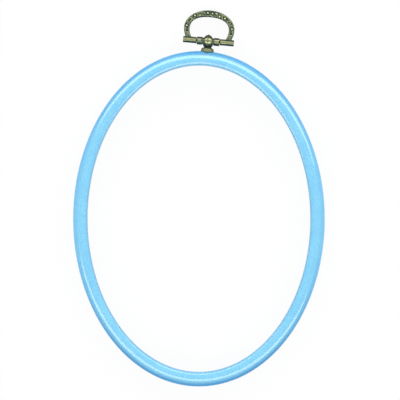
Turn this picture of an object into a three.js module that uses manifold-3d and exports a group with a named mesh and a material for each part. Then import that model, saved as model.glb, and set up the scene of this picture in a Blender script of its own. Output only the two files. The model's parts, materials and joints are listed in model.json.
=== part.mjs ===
// Oval embroidery hoop: a soft outer hoop snapped over a rigid inner hoop, with a cast hanger at its top.
// Millimetres, +Z up. The hoop lies on its back on a surface at Z = 0, with the hanger towards +Y.
import * as THREE from 'three';
import { mergeVertices } from 'three/addons/utils/BufferGeometryUtils.js';
import Module from 'manifold-3d';

// Opening that the fabric fills, a nominal 4 by 5 1/2 inches
const openingWidth = 101.6;
const openingLength = 139.7;

// Both hoops. A hoop's section is drawn outwards from the edge of the opening and up from the surface.
const hoopDepth = 9.5;
const bandWidth = 6.45;
const hoopGap = 0.3;

// Inner hoop
const innerWall = 1.8;
const innerRound = 0.35;
const innerShows = 0.5;

// Outer hoop: a round bead outside, which meets a flat front band at a crease, and a lip over the inner hoop
const beadRadius = 4.6;
const beadTurn = THREE.MathUtils.degToRad(78);
const backRoundWidth = 2.2;
const backRoundHeight = 3.5;
const lipThickness = 0.8;
const lipRound = 0.45;

// Hanger: the bar lies along X and the post runs out from the hoop along Y before the hanger is turned
const hangerTilt = THREE.MathUtils.degToRad(5);
const barStandOff = 4.68;
const barrelLength = 10;
const barrelRadius = 1.57;
const knuckleLength = 6.15;
const knuckleRadius = 1.41;
const knuckleGap = 0.4;
const pinRadius = 0.6;
const pinClearance = 0.15;
const pinInset = 0.2;

// Post
const ballRadius = 2.2;
const ballLift = 0.2;
const finialHeight = 0.35;
const finialRadius = 0.9;
const neckRadius = 1.6;
const footNeckDrop = 2.9;
const footNeckRadius = 1.8;
const footRadius = 3;
const footRim = 0.7;
const footDepth = 1.6;
const seatGap = 0.3;

// Screw and washer inside the outer hoop
const screwRadius = 0.7;
const screwHeadRadius = 1.6;
const screwHeadHeight = 1;
const screwSlotWidth = 0.45;
const screwSlotDepth = 0.4;
const screwClearance = 0.25;
const screwTipToPin = 0.55;
const washerRadius = 1.9;
const washerThickness = 0.5;
const pocketClearance = 0.3;
const headBelowWall = 0.1;

// Bail: an oval loop whose arms turn in towards the bar, hanging down to the surface
const bailWidth = 23;
const bailShoulder = 6;
const bailTop = 14.6;
const bailOpeningWidth = 17.9;
const bailOpeningShoulder = 5.5;
const bailOpeningTop = 11.5;
const bailOpeningFullness = 2.4;
const bailThickness = 2.2;
const bailEdge = 0.5;
const armOuterAtBar = 9.6;
const armInnerAtBar = 6.8;
const surfaceClearance = 0.05;

// Fineness of the round shapes
const hoopStations = 96;
const beadSteps = 7;
const backRoundSteps = 5;
const lipSteps = 3;
const innerRoundSteps = 2;
const roundSides = 28;
const pinSides = 20;
const ballSteps = 8;
const flareSteps = 4;
const bailSteps = 22;
const bailEdgeSteps = 2;
const armSteps = 5;

// How far a cut runs past what it cuts, and how far joined shapes reach into each other
const cutPast = 1;
const joinDepth = 0.2;

const vinyl = { color: 0x8ad5fb, roughness: 0.35, metalness: 0 };
const rigidPlastic = { color: 0x84bfe0, roughness: 0.45, metalness: 0 };
const antiqueBrass = { color: 0x96946a, roughness: 0.38, metalness: 0.9 };
const darkBrass = { color: 0x6d6a48, roughness: 0.5, metalness: 0.9 };
const steel = { color: 0xb4b8bc, roughness: 0.4, metalness: 1 };

const wasm = await Module();
wasm.setup();

// Closed geometry to a solid that can be joined and cut
function solidOf(geometry) {
  const bare = geometry.clone();
  bare.deleteAttribute('normal');
  bare.deleteAttribute('uv');
  const welded = mergeVertices(bare);
  return new wasm.Manifold(new wasm.Mesh({
    numProp: 3,
    vertProperties: Float32Array.from(welded.attributes.position.array),
    triVerts: Uint32Array.from(welded.index.array),
  }));
}

function geometryOf(solid) {
  const mesh = solid.getMesh();
  const geometry = new THREE.BufferGeometry();
  geometry.setAttribute('position', new THREE.BufferAttribute(mesh.vertProperties, 3));
  geometry.setIndex(new THREE.BufferAttribute(mesh.triVerts, 1));
  geometry.computeVertexNormals();
  return geometry;
}

// Point at a distance outside the edge of the oval opening, square to that edge
function ovalPoint(angle, offset) {
  const halfWidth = openingWidth / 2;
  const halfLength = openingLength / 2;
  const edge = new THREE.Vector2(halfWidth * Math.cos(angle), halfLength * Math.sin(angle));
  const outwards = new THREE.Vector2(halfLength * Math.cos(angle), halfWidth * Math.sin(angle)).normalize();
  return edge.addScaledVector(outwards, offset);
}

// Closed ring with one section all the way round the oval: a round ring whose stations are moved to the oval
function ovalRing(section) {
  const profile = [...section, section[0]];
  const ring = new THREE.LatheGeometry(profile, hoopStations);
  const place = ring.attributes.position;
  for (let i = 0; i < place.count; i += 1) {
    const station = Math.floor(i / profile.length) % hoopStations;
    const corner = profile[i % profile.length];
    const at = ovalPoint(2 * Math.PI * station / hoopStations, corner.x);
    place.setXYZ(i, at.x, at.y, corner.y);
  }
  return ring;
}

// Points of an ellipse's arc about a centre, which turns by a quarter unless another turn is given
function arc(centre, radii, from, steps, turn = Math.PI / 2) {
  const points = [];
  for (let i = 0; i <= steps; i += 1) {
    const angle = from + turn * i / steps;
    points.push(new THREE.Vector2(Math.cos(angle), Math.sin(angle)).multiply(radii).add(centre));
  }
  return points;
}

const lipBottom = hoopDepth - lipThickness;
const innerDepth = lipBottom - hoopGap;
const outerInside = innerWall + hoopGap;
const beadBottom = hoopDepth - beadRadius * Math.sin(beadTurn);

// Section of the outer hoop, its outside grown where a piece seats on it
function outerSection(growth = 0) {
  return [
    new THREE.Vector2(outerInside, -growth),
    ...arc(
      new THREE.Vector2(bandWidth - backRoundWidth, backRoundHeight),
      new THREE.Vector2(backRoundWidth + growth, backRoundHeight + growth),
      -Math.PI / 2,
      backRoundSteps,
    ),
    ...arc(
      new THREE.Vector2(bandWidth - beadRadius, beadBottom),
      new THREE.Vector2(beadRadius + growth, beadRadius + growth),
      0,
      beadSteps,
      beadTurn,
    ),
    ...arc(
      new THREE.Vector2(innerShows + lipRound, hoopDepth - lipRound),
      new THREE.Vector2(lipRound, lipRound + growth),
      Math.PI / 2,
      lipSteps,
    ),
    new THREE.Vector2(innerShows, lipBottom),
    new THREE.Vector2(outerInside, lipBottom),
  ];
}

// Section of the inner hoop, a plain strip with its four corners rounded alike
function innerSection() {
  const inside = innerRound;
  const outside = innerWall - innerRound;
  const bottom = innerRound;
  const top = innerDepth - innerRound;
  const radii = new THREE.Vector2(innerRound, innerRound);
  return [
    ...arc(new THREE.Vector2(inside, bottom), radii, -Math.PI, innerRoundSteps),
    ...arc(new THREE.Vector2(outside, bottom), radii, -Math.PI / 2, innerRoundSteps),
    ...arc(new THREE.Vector2(outside, top), radii, 0, innerRoundSteps),
    ...arc(new THREE.Vector2(inside, top), radii, Math.PI / 2, innerRoundSteps),
  ];
}

// The hanger's place: where the oval's edge faces along the hanger's tilt
const hangerAngle = Math.atan2(
  (openingLength / 2) * Math.cos(hangerTilt),
  (openingWidth / 2) * Math.sin(hangerTilt),
);
const barOffset = bandWidth + barStandOff;
const barAt = ovalPoint(hangerAngle, barOffset);
const barHeight = hoopDepth / 2;

function hangerFrame(geometry) {
  return geometry.rotateZ(-hangerTilt).translate(barAt.x, barAt.y, barHeight);
}

function intoHangerFrame(geometry) {
  return geometry.translate(-barAt.x, -barAt.y, -barHeight).rotateZ(hangerTilt);
}

// Cylinder along X between two places
function barAlong(from, to, radius, sides) {
  return new THREE.CylinderGeometry(radius, radius, to - from, sides)
    .rotateZ(Math.PI / 2)
    .translate((from + to) / 2, 0, 0);
}

// Cylinder along Y between two places, measured outwards from the bar
function postAlong(from, to, radius, sides) {
  return new THREE.CylinderGeometry(radius, radius, to - from, sides).translate(0, (from + to) / 2, 0);
}

// Places along the post, measured from the bar, for what lies inside the outer hoop
const wallInside = outerInside - barOffset;
const headInside = wallInside + headBelowWall;
const headOutside = headInside + screwHeadHeight;
const washerInside = headOutside + seatGap;
const washerOutside = washerInside + washerThickness;
const pocketFloor = washerOutside + seatGap;
const screwTip = -(pinRadius + pinClearance + screwTipToPin + seatGap);

function outerHoop() {
  const pocketRadius = washerRadius + pocketClearance;
  const ring = solidOf(intoHangerFrame(ovalRing(outerSection())));
  const pocket = solidOf(postAlong(wallInside - cutPast, pocketFloor, pocketRadius, roundSides));
  const hole = solidOf(postAlong(pocketFloor - cutPast, 0, screwRadius + screwClearance, roundSides));
  return hangerFrame(geometryOf(ring.subtract(pocket).subtract(hole)));
}

function innerHoop() {
  return ovalRing(innerSection());
}

// Ball, finial, neck and flared foot in one turned outline, from the foot's middle up to the finial's tip
function postOutline() {
  const footEnd = -(barStandOff + footDepth);
  const rimTop = footRim - barStandOff;
  const flare = new THREE.QuadraticBezierCurve(
    new THREE.Vector2(footRadius, rimTop),
    new THREE.Vector2(footNeckRadius, rimTop),
    new THREE.Vector2(footNeckRadius, -footNeckDrop),
  );
  const ballFrom = -Math.acos(neckRadius / ballRadius);
  const ballTo = Math.acos(finialRadius / ballRadius);
  const points = [
    new THREE.Vector2(0, footEnd),
    new THREE.Vector2(footRadius, footEnd),
    ...flare.getPoints(flareSteps),
  ];
  for (let i = 0; i <= ballSteps; i += 1) {
    const angle = ballFrom + (ballTo - ballFrom) * i / ballSteps;
    points.push(new THREE.Vector2(ballRadius * Math.cos(angle), ballLift + ballRadius * Math.sin(angle)));
  }
  points.push(new THREE.Vector2(0, ballLift + ballRadius + finialHeight));
  return points;
}

function hangerPost() {
  const turned = solidOf(new THREE.LatheGeometry(postOutline(), roundSides));
  const barrel = solidOf(barAlong(-barrelLength / 2, barrelLength / 2, barrelRadius, roundSides));
  const bore = solidOf(barAlong(-barrelLength, barrelLength, pinRadius + pinClearance, pinSides));
  const screwHole = solidOf(postAlong(
    wallInside,
    screwTip + seatGap,
    screwRadius + screwClearance,
    pinSides,
  ));
  const seat = solidOf(intoHangerFrame(ovalRing(outerSection(seatGap))));
  return hangerFrame(geometryOf(turned.add(barrel).subtract(bore).subtract(screwHole).subtract(seat)));
}

// The bail's droop, at which the underside of its top edge reaches the surface
const bailDroop = Math.asin((barHeight - bailThickness / 2 - surfaceClearance) / (bailTop - bailEdge));

// Edge of the bail on one side, from the bar up the arm and over to the middle of the top
function bailSide(atBar, halfWidth, shoulder, top, fullness) {
  const arm = new THREE.QuadraticBezierCurve(
    new THREE.Vector2(atBar, 0),
    new THREE.Vector2(halfWidth, shoulder / 2),
    new THREE.Vector2(halfWidth, shoulder),
  );
  const points = arm.getPoints(armSteps);
  for (let i = 1; i <= bailSteps / 2; i += 1) {
    const angle = Math.PI * i / bailSteps;
    points.push(new THREE.Vector2(
      halfWidth * Math.cos(angle) ** (2 / fullness),
      shoulder + (top - shoulder) * Math.sin(angle) ** (2 / fullness),
    ));
  }
  points[points.length - 1].x = 0;
  return points;
}

// Both sides of an edge, from the right arm over the top to the left arm
function bailEdgeLine(side) {
  const mirrored = side.slice(0, -1).reverse().map((point) => new THREE.Vector2(-point.x, point.y));
  return [...side, ...mirrored];
}

function bailLoop() {
  const outer = bailEdgeLine(bailSide(armOuterAtBar, bailWidth / 2, bailShoulder, bailTop, 2));
  const inner = bailEdgeLine(bailSide(
    armInnerAtBar,
    bailOpeningWidth / 2,
    bailOpeningShoulder,
    bailOpeningTop,
    bailOpeningFullness,
  ));
  const flat = new THREE.ExtrudeGeometry(new THREE.Shape([...outer, ...inner.reverse()]), {
    depth: bailThickness - 2 * bailEdge,
    bevelThickness: bailEdge,
    bevelSize: bailEdge,
    bevelOffset: -bailEdge,
    bevelSegments: bailEdgeSteps,
  });
  return flat.translate(0, 0, bailEdge - bailThickness / 2);
}

const knuckleInside = barrelLength / 2 + knuckleGap;
const knuckleOutside = knuckleInside + knuckleLength;

function bail() {
  const boreEnd = knuckleOutside + cutPast;
  let solid = solidOf(bailLoop());
  for (const side of [-1, 1]) {
    const ends = [side * knuckleInside, side * knuckleOutside].sort((a, b) => a - b);
    solid = solid.add(solidOf(barAlong(ends[0], ends[1], knuckleRadius, roundSides)));
  }
  const bore = solidOf(barAlong(-boreEnd, boreEnd, pinRadius + pinClearance, pinSides));
  return hangerFrame(geometryOf(solid.subtract(bore)).rotateX(-bailDroop));
}

function hingePin() {
  const pinEnd = knuckleOutside - pinInset;
  return hangerFrame(barAlong(-pinEnd, pinEnd, pinRadius, pinSides));
}

function postScrew() {
  const slotLength = 2 * (screwHeadRadius + cutPast);
  const head = solidOf(postAlong(headInside, headOutside, screwHeadRadius, roundSides));
  const shank = solidOf(postAlong(headOutside - joinDepth, screwTip, screwRadius, pinSides));
  const slot = new THREE.BoxGeometry(slotLength, 2 * screwSlotDepth, screwSlotWidth);
  slot.translate(0, headInside, 0);
  return hangerFrame(geometryOf(head.add(shank).subtract(solidOf(slot))));
}

function postWasher() {
  const disc = solidOf(postAlong(washerInside, washerOutside, washerRadius, roundSides));
  const hole = solidOf(postAlong(
    washerInside - cutPast,
    washerOutside + cutPast,
    screwRadius + screwClearance,
    pinSides,
  ));
  return hangerFrame(geometryOf(disc.subtract(hole)));
}

function piece(name, geometry, finish) {
  const mesh = new THREE.Mesh(geometry, new THREE.MeshStandardMaterial(finish));
  mesh.name = name;
  return mesh;
}

const group = new THREE.Group();
group.add(
  piece('outer_hoop', outerHoop(), vinyl),
  piece('inner_hoop', innerHoop(), rigidPlastic),
  piece('hanger_post', hangerPost(), antiqueBrass),
  piece('bail', bail(), antiqueBrass),
  piece('hinge_pin', hingePin(), darkBrass),
  piece('post_screw', postScrew(), steel),
  piece('post_washer', postWasher(), steel),
);

// The origin is the middle of the whole object on the surface that it lies on
const whole = new THREE.Box3().setFromObject(group);
const middle = whole.getCenter(new THREE.Vector3());
group.position.set(-middle.x, -middle.y, -whole.min.z);

export default group;
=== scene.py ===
"""An oval embroidery hoop with a cast brass hanger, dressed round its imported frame.

Meshes are made in millimetres, the hanger's pieces in the hanger's own axes: X along the bar, Y outwards
from the hoop and Z out of the front. Each finished piece is in metres in the frame's axes.
"""

import json
import logging
import math
from collections.abc import Iterable, Mapping, Sequence
from dataclasses import dataclass, replace
from enum import Enum
from typing import Any, ClassVar

import bpy
import numpy as np
from mathutils import Matrix, Vector


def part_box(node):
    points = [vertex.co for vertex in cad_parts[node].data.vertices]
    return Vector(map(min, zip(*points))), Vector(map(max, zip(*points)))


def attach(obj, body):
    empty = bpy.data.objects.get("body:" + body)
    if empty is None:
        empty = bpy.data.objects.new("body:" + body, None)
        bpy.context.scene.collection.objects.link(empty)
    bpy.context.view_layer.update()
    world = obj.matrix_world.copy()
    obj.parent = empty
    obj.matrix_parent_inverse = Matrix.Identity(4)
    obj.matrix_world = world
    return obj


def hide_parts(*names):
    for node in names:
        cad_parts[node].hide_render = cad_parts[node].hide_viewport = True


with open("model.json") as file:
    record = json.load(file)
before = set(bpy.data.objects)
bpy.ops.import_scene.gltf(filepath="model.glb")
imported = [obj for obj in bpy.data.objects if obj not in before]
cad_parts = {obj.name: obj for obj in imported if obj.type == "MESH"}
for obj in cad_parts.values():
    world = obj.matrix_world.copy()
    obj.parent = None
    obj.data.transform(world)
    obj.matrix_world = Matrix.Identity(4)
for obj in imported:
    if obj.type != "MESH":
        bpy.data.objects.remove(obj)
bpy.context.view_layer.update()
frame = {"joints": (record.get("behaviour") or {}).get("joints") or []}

log = logging.getLogger("hoop")

MM = 0.001
TINY = 1e-9

Point = tuple[float, float]
Place = tuple[float, float, float]
Colour = tuple[float, float, float]
Path = Sequence[Point]
Mesh = bpy.types.Mesh
Material = bpy.types.Material
Socket = bpy.types.NodeSocket


class Body(Enum):
    """The bodies that pieces ride on."""

    INNER = "inner"
    OUTER = "outer"
    BAIL = "bail"


class Slot(Enum):
    """The record's material slots."""

    VINYL = "soft_vinyl"
    RIGID = "rigid_plastic"
    CAST_BRASS = "antique_brass"
    DRAWN_BRASS = "dark_brass"
    STEEL = "plated_steel"


class Axis(Enum):
    """The axis that a turned shape turns about: its order of radius, sideways and along in X, Y and Z."""

    X = (2, 0, 1)
    Y = (0, 2, 1)


class Solver(Enum):
    """Blender's ways to cut: EXACT leaves the faces that aren't cut as they were, and MANIFOLD is faster."""

    EXACT = "EXACT"
    MANIFOLD = "MANIFOLD"


@dataclass(frozen=True)
class Value:
    """A number inside a node tree, with the operators that add its Math nodes."""

    nodes: "Nodes"
    socket: Socket

    def _math(self, operation: str, *values: "Value | float", clamp: bool = False) -> "Value":
        """Adds a Math node on values."""
        sockets = dict(enumerate(values))
        return self.nodes.value("ShaderNodeMath", sockets, operation=operation, use_clamp=clamp)

    def __add__(self, other: "Value | float") -> "Value":
        """self + other, and other + self."""
        return self._math("ADD", self, other)

    def __sub__(self, other: "Value | float") -> "Value":
        """self - other."""
        return self._math("SUBTRACT", self, other)

    def __rsub__(self, other: float) -> "Value":
        """other - self."""
        return self._math("SUBTRACT", other, self)

    def __mul__(self, other: "Value | float") -> "Value":
        """self * other, and other * self."""
        return self._math("MULTIPLY", self, other)

    __radd__ = __add__
    __rmul__ = __mul__

    def clamped(self) -> "Value":
        """The number kept from 0 to 1."""
        return self._math("ADD", self, 0.0, clamp=True)

    def either(self, other: "Value") -> "Value":
        """The larger of the two."""
        return self._math("MAXIMUM", self, other)

    def swing(self, width: float) -> "Value":
        """A pattern's swing about its middle, a half, made so wide."""
        return (self - 0.5) * width

    def blended(self, other: "Value", share: float) -> "Value":
        """The number with a share of another in its place."""
        return self * (1 - share) + other * share


Feed = Value | Socket | float | int | str | tuple
Sockets = Mapping[str | int, Feed]


class Nodes:
    """Adds nodes to one shader or geometry tree."""

    MIX_SOCKETS = (0, 6, 7)
    MIX_RESULT = 2

    def __init__(self, tree: bpy.types.NodeTree) -> None:
        """Starts on a tree."""
        self.tree = tree

    def node(self, kind: str, sockets: Sockets | None = None, **settings: Any) -> bpy.types.Node:
        """Adds a node.

        Args:
            kind: The node's type.
            sockets: What its inputs hold, by name or number: a constant, a socket or a Value.
            settings: Its properties, and the stops of a ramp, which are set first.

        Returns:
            The node.
        """
        made = self.tree.nodes.new(kind)
        for name, value in settings.items():
            if name == "stops":
                self._set_stops(made.color_ramp, value)
            else:
                setattr(made, name, value)
        for name, value in (sockets or {}).items():
            source = value.socket if isinstance(value, Value) else value
            if isinstance(source, Socket):
                self.tree.links.new(source, made.inputs[name])
            else:
                made.inputs[name].default_value = source
        return made

    @staticmethod
    def _set_stops(ramp: bpy.types.ColorRamp, stops: Sequence[tuple[float, Colour]]) -> None:
        """Gives a ramp its stops.

        Args:
            ramp: The ramp.
            stops: Each place from 0 to 1 with its colour.
        """
        while len(ramp.elements) < len(stops):
            ramp.elements.new(1.0)
        for element, (place, colour) in zip(ramp.elements, stops):
            element.position = place
            element.color = (*colour, 1.0)

    def output(
        self, kind: str, sockets: Sockets | None = None, which: str | int = 0, **settings: Any
    ) -> Socket:
        """Adds a node, as node does, and returns one of its outputs."""
        return self.node(kind, sockets, **settings).outputs[which]

    def value(
        self, kind: str, sockets: Sockets | None = None, which: str | int = 0, **settings: Any
    ) -> Value:
        """Adds a node, as node does, and returns one of its outputs as a Value."""
        return Value(self, self.output(kind, sockets, which, **settings))

    def mix(self, share: Feed, first: Feed, second: Feed) -> Socket:
        """Mixes two colours.

        Args:
            share: How much there is of the second, from 0 to 1.
            first: The colour where the share is 0.
            second: The colour where the share is 1.

        Returns:
            The mixed colour.
        """
        ends = [(*end, 1.0) if isinstance(end, tuple) else end for end in (first, second)]
        sockets = dict(zip(self.MIX_SOCKETS, (share, *ends)))
        return self.output("ShaderNodeMix", sockets, self.MIX_RESULT, data_type="RGBA")


class ShaderNodes(Nodes):
    """A material's tree, with the patterns that the finishes share."""

    def __init__(self, name: str) -> None:
        """Makes a material with an empty tree.

        Args:
            name: The material's name.
        """
        self.material = bpy.data.materials.new(name)
        self.material.use_nodes = True
        super().__init__(self.material.node_tree)
        self.tree.nodes.clear()
        self.place = self.output("ShaderNodeTexCoord", which="Object")

    def stored(self, name: str) -> Value:
        """The number that the mesh stores under a name."""
        return self.value("ShaderNodeAttribute", which="Fac", attribute_name=name)

    def noise(
        self, grain: float, detail: float = 2.0, roughness: float = 0.5, drawn: Place | None = None
    ) -> Value:
        """Noise on the piece's own coordinates.

        Args:
            grain: The width of a blotch in millimetres.
            detail: How many finer layers it has.
            roughness: How strong the finer layers are.
            drawn: The scale on each axis, below 1 where the blotches are drawn out.

        Returns:
            The noise, about 0.5 on average.
        """
        place = self.place
        if drawn:
            place = self.output("ShaderNodeMapping", {"Vector": place, "Scale": drawn})
        sockets = {"Vector": place, "Scale": 1 / (grain * MM), "Detail": detail, "Roughness": roughness}
        return self.value("ShaderNodeTexNoise", sockets)

    def band(self, value: Value, low: float, high: float) -> Value:
        """A smooth step of a value, from 0 at low to 1 at high."""
        sockets = {"Value": value, "From Min": low, "From Max": high}
        return self.value("ShaderNodeMapRange", sockets, interpolation_type="SMOOTHSTEP")

    def near(self, at: Place, reach: Point) -> Value:
        """A mask round a place in metres: 1 within the first reach in millimetres, and 0 past the second."""
        away = self.value("ShaderNodeVectorMath", {0: self.place, 1: at}, "Value", operation="DISTANCE")
        return 1 - self.band(away, *(length * MM for length in reach))

    def ramp(self, value: Value, stops: Sequence[tuple[float, Colour]]) -> Socket:
        """Colours a value by a ramp's stops."""
        return self.output("ShaderNodeValToRGB", {"Fac": value}, "Color", stops=stops)

    def bump(self, height: Value, depth: float) -> Socket:
        """Turns a height from 0 to 1 into a normal, where 1 stands for a depth in millimetres."""
        return self.output("ShaderNodeBump", {"Height": height, "Distance": depth * MM}, "Normal")

    def finish(self, sockets: Mapping[str, Feed]) -> Material:
        """Ends the tree in one Principled shader with these inputs, and returns the material."""
        self.node("ShaderNodeOutputMaterial", {"Surface": self.output("ShaderNodeBsdfPrincipled", sockets)})
        return self.material


class GeometryTree(Nodes):
    """A geometry tree with named inputs, which ends in Realize Instances and Set Material."""

    KINDS = {float: "NodeSocketFloat", int: "NodeSocketInt", Material: "NodeSocketMaterial"}

    def __init__(self, name: str, inputs: Mapping[str, type]) -> None:
        """Makes the tree.

        Args:
            name: The tree's name.
            inputs: Each input's name and type, apart from the geometry and the material.
        """
        super().__init__(bpy.data.node_groups.new(name, "GeometryNodeTree"))
        face = self.tree.interface
        for way in ("OUTPUT", "INPUT"):
            face.new_socket("Geometry", in_out=way, socket_type="NodeSocketGeometry")
        for label, kind in {**inputs, "Material": Material}.items():
            face.new_socket(label, in_out="INPUT", socket_type=self.KINDS[kind])
        self.inputs = self.node("NodeGroupInput").outputs

    def circle(self, points: Socket) -> Socket:
        """A circle of radius 1 with so many points."""
        return self.output("GeometryNodeCurvePrimitiveCircle", {"Resolution": points, "Radius": 1.0})

    def upright(self, curve: Socket) -> Socket:
        """Keeps a profile on a curve upright: its X outwards and its Y down."""
        return self.output("GeometryNodeSetCurveNormal", {"Curve": curve}, mode="Z_UP")

    def sweep(self, sockets: Mapping[str, Feed]) -> "GeometryTree":
        """Carries a profile along a curve and finishes the tree."""
        return self.finish(self.output("GeometryNodeCurveToMesh", sockets))

    def finish(self, shape: Socket) -> "GeometryTree":
        """Realizes a shape, gives it the material and ends the tree.

        Args:
            shape: The shape.

        Returns:
            The tree itself.
        """
        sockets = {
            "Geometry": self.output("GeometryNodeRealizeInstances", {0: shape}),
            "Material": self.inputs["Material"],
        }
        self.node("NodeGroupOutput", {0: self.output("GeometryNodeSetMaterial", sockets)})
        return self

    def run(self, host: bpy.types.ID, material: Material, values: Mapping[str, Any]) -> Mesh:
        """Runs the tree on a curve or a mesh.

        Args:
            host: The curve or mesh that is the tree's geometry.
            material: What the result is made of.
            values: What each other named input holds.

        Returns:
            The result as a plain mesh.
        """
        sockets = [item for item in self.tree.interface.items_tree if item.in_out == "INPUT"]
        identifiers = {item.name: item.identifier for item in sockets}
        inputs = {identifiers[name]: value for name, value in {**values, "Material": material}.items()}
        return applied(host, "NODES", {"node_group": self.tree}, inputs)


def new_object(name: str, data: bpy.types.ID) -> bpy.types.Object:
    """Puts a new object into the scene.

    Args:
        name: Its name.
        data: What it shows.

    Returns:
        The object.
    """
    made = bpy.data.objects.new(name, data)
    bpy.context.scene.collection.objects.link(made)
    return made


def applied(
    data: bpy.types.ID, kind: str, settings: Mapping[str, Any], inputs: Mapping[str, Any] | None = None
) -> Mesh:
    """Applies a modifier to a curve or a mesh.

    Args:
        data: The curve or mesh.
        kind: The modifier's type.
        settings: Its properties.
        inputs: What the inputs of its node tree hold, by their identifiers.

    Returns:
        The result as a plain mesh.
    """
    piece = new_object("work", data)
    modifier = piece.modifiers.new("work", kind)
    for name, value in settings.items():
        setattr(modifier, name, value)
    for identifier, value in (inputs or {}).items():
        modifier[identifier] = value
    piece.update_tag()
    mesh = bpy.data.meshes.new_from_object(piece.evaluated_get(bpy.context.evaluated_depsgraph_get()))
    piece.modifiers.clear()
    bpy.data.objects.remove(piece)
    return mesh


def mesh_of(points: Iterable[Place] | np.ndarray, faces: Sequence[Sequence[int]]) -> Mesh:
    """Makes a mesh from its points and faces.

    Args:
        points: The place of each point.
        faces: The point numbers of each face.

    Returns:
        The mesh.
    """
    mesh = bpy.data.meshes.new("work")
    mesh.from_pydata([tuple(map(float, point)) for point in points], [], faces)
    mesh.update()
    return mesh


def grid_faces(rows: int, columns: int, closed: bool = False) -> list[tuple[int, ...]]:
    """Faces between neighbouring rows of points, each row a closed ring.

    Args:
        rows: How many rows there are.
        columns: How many points a row has.
        closed: Whether the last row meets the first.

    Returns:
        The faces as four point numbers each.
    """
    faces = []
    for row in range(rows if closed else rows - 1):
        here, there = row * columns, (row + 1) % rows * columns
        for column in range(columns):
            after = (column + 1) % columns
            faces.append((here + column, here + after, there + after, there + column))
    return faces


def angles_round(count: int) -> np.ndarray:
    """Evenly spaced angles once round."""
    return np.linspace(0, 2 * math.pi, count, endpoint=False)


def lathe(outline: Path, axis: Axis, sides: int, ring: bool = False) -> Mesh:
    """Turns an outline about an axis into a closed shape.

    Args:
        outline: Radius and place along the axis, point by point.
        axis: The axis.
        sides: How many sides the shape has.
        ring: Whether the outline meets itself round a hole; otherwise both its ends close flat.

    Returns:
        The mesh.
    """
    angles = angles_round(sides)
    rings = [
        np.stack([radius * np.cos(angles), radius * np.sin(angles), np.full(sides, along)], axis=1)
        for radius, along in outline
    ]
    faces = grid_faces(len(outline), sides, closed=ring)
    if not ring:
        low, last = sides * len(outline), sides * (len(outline) - 1)
        rings.append(np.array([(0, 0, outline[0][1]), (0, 0, outline[-1][1])]))
        for side in range(sides):
            after = (side + 1) % sides
            faces += [(low, after, side), (low + 1, last + side, last + after)]
    return outwards(mesh_of(np.vstack(rings)[:, axis.value], faces))


def both_ways(half: Path) -> list[Point]:
    """An outline for lathe from its half, the same both ways from the middle of its axis."""
    return [*((radius, -along) for radius, along in reversed(half)), *half]


def rod(low: float, high: float, radius: float, axis: Axis, sides: int = 64) -> Mesh:
    """A plain round bar between two places on an axis, such as what cuts a bore."""
    return lathe([(radius, low), (radius, high)], axis, sides)


def numbers_of(items: bpy.types.bpy_prop_collection, name: str, width: int, kind: type = float) -> np.ndarray:
    """Reads a row of numbers for each of a mesh's items.

    Args:
        items: The items, such as the mesh's points.
        name: The name of what is read.
        width: How many numbers a row has.
        kind: Their type.

    Returns:
        The rows.
    """
    flat = np.empty(len(items) * width, kind)
    items.foreach_get(name, flat)
    return flat.reshape(-1, width)


def places_of(mesh: Mesh) -> np.ndarray:
    """The mesh's points as rows of X, Y and Z."""
    return numbers_of(mesh.vertices, "co", 3)


def normals_of(mesh: Mesh) -> np.ndarray:
    """The normals at the mesh's points."""
    return numbers_of(mesh.vertex_normals, "vector", 3)


def outwards(mesh: Mesh) -> Mesh:
    """Turns a closed mesh the right way where its volume is below 0, which is inside out.

    Args:
        mesh: The mesh, changed in place.

    Returns:
        The mesh.
    """
    mesh.calc_loop_triangles()
    corners = places_of(mesh)[numbers_of(mesh.loop_triangles, "vertices", 3, np.int32)]
    if np.einsum("ij,ij->i", corners[:, 0], np.cross(corners[:, 1], corners[:, 2])).sum() < 0:
        mesh.flip_normals()
    return mesh


def move_points(mesh: Mesh, places: np.ndarray) -> None:
    """Gives the mesh's points new places."""
    mesh.vertices.foreach_set("co", places.ravel())
    mesh.update()


def averaged(mesh: Mesh, values: np.ndarray, rounds: int, share: float = 1.0) -> np.ndarray:
    """Averages values over neighbouring points.

    Args:
        mesh: The mesh.
        values: A row of numbers for each of its points.
        rounds: How often to average.
        share: How far each round goes towards the neighbours' mean.

    Returns:
        The smoothed values.
    """
    first, second = numbers_of(mesh.edges, "vertices", 2, np.int32).T
    here, there = np.concatenate([first, second]), np.concatenate([second, first])
    count = len(mesh.vertices)
    neighbours = np.maximum(np.bincount(here, minlength=count), 1)
    smooth = values.copy()
    for _ in range(rounds):
        for column in smooth.T:
            column += share * (np.bincount(here, column[there], minlength=count) / neighbours - column)
    return smooth


def store(mesh: Mesh, name: str, values: np.ndarray) -> None:
    """Stores a number for each of a mesh's points, for its material to read."""
    mesh.attributes.new(name, "FLOAT", "POINT").data.foreach_set("value", values.astype(np.float32))


def joined(meshes: Iterable[Mesh]) -> Mesh:
    """Puts closed meshes into one mesh, without joining their surfaces.

    Args:
        meshes: The meshes.

    Returns:
        The one mesh.
    """
    points: list[np.ndarray] = []
    faces: list[list[int]] = []
    for mesh in meshes:
        start = sum(len(part) for part in points)
        points.append(places_of(mesh))
        faces.extend([start + corner for corner in face.vertices] for face in mesh.polygons)
    return mesh_of(np.vstack(points), faces)


def fused(meshes: Iterable[Mesh], voxel: float, rounds: int) -> Mesh:
    """Fuses closed meshes that overlap into one casting.

    Args:
        meshes: The meshes.
        voxel: The size of a face of the result, in millimetres.
        rounds: How often the result is smoothed.

    Returns:
        One closed mesh of even faces.
    """
    mesh = applied(joined(meshes), "REMESH", {"mode": "VOXEL", "voxel_size": voxel})
    move_points(mesh, averaged(mesh, places_of(mesh), rounds, share=0.5))
    return mesh


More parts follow.
